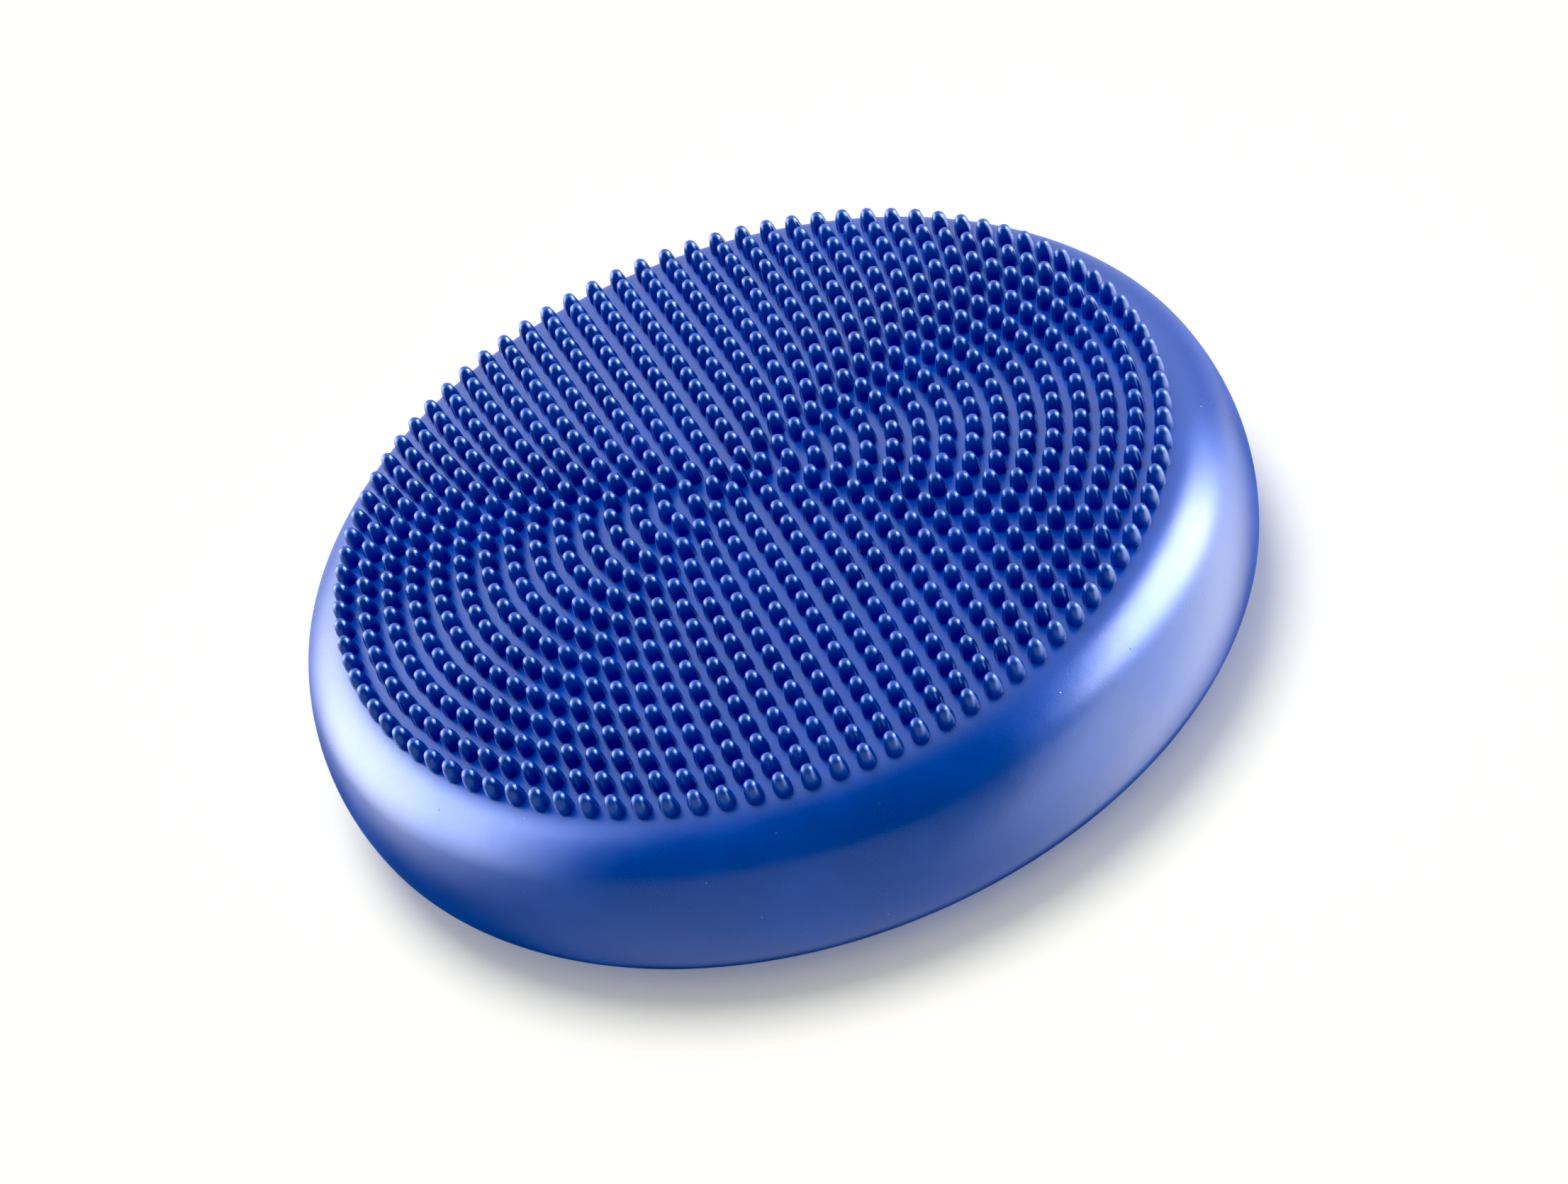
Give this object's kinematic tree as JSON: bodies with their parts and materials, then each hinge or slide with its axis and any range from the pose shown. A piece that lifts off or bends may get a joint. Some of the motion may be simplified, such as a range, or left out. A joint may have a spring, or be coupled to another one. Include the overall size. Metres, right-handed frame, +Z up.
{
  "type": "inflatable balance cushion",
  "caption": "Round air-filled balance cushion: domed top covered in soft nubs, rounded side wall, flat resting face and a needle valve with a pull-out stopper in the side.",
  "frame": {"origin": "centre of the flat resting face on the underside", "axes": "+Z up through the nub side, square to the disc; the valve looks out level, half way between -X and +Y"},
  "size_m": [0.3298, 0.3298, 0.0825],
  "materials": {
    "skin_pvc": "satin soft PVC with a fine grain",
    "sleeve_pvc": "glossy",
    "core_rubber": "matt",
    "stopper_pvc": "satin"
  },
  "bodies": {
    "cushion": {"cushion_skin": "skin_pvc", "valve_sleeve": "sleeve_pvc", "needle_core": "core_rubber"},
    "stopper": {"valve_stopper": "stopper_pvc"}
  },
  "joints": [
    {"name": "stopper_pull", "type": "slide", "parent": "cushion", "child": "stopper", "axis": [-0.7071, 0.7071, 0], "range_m": [0, 0.012]}
  ]
}
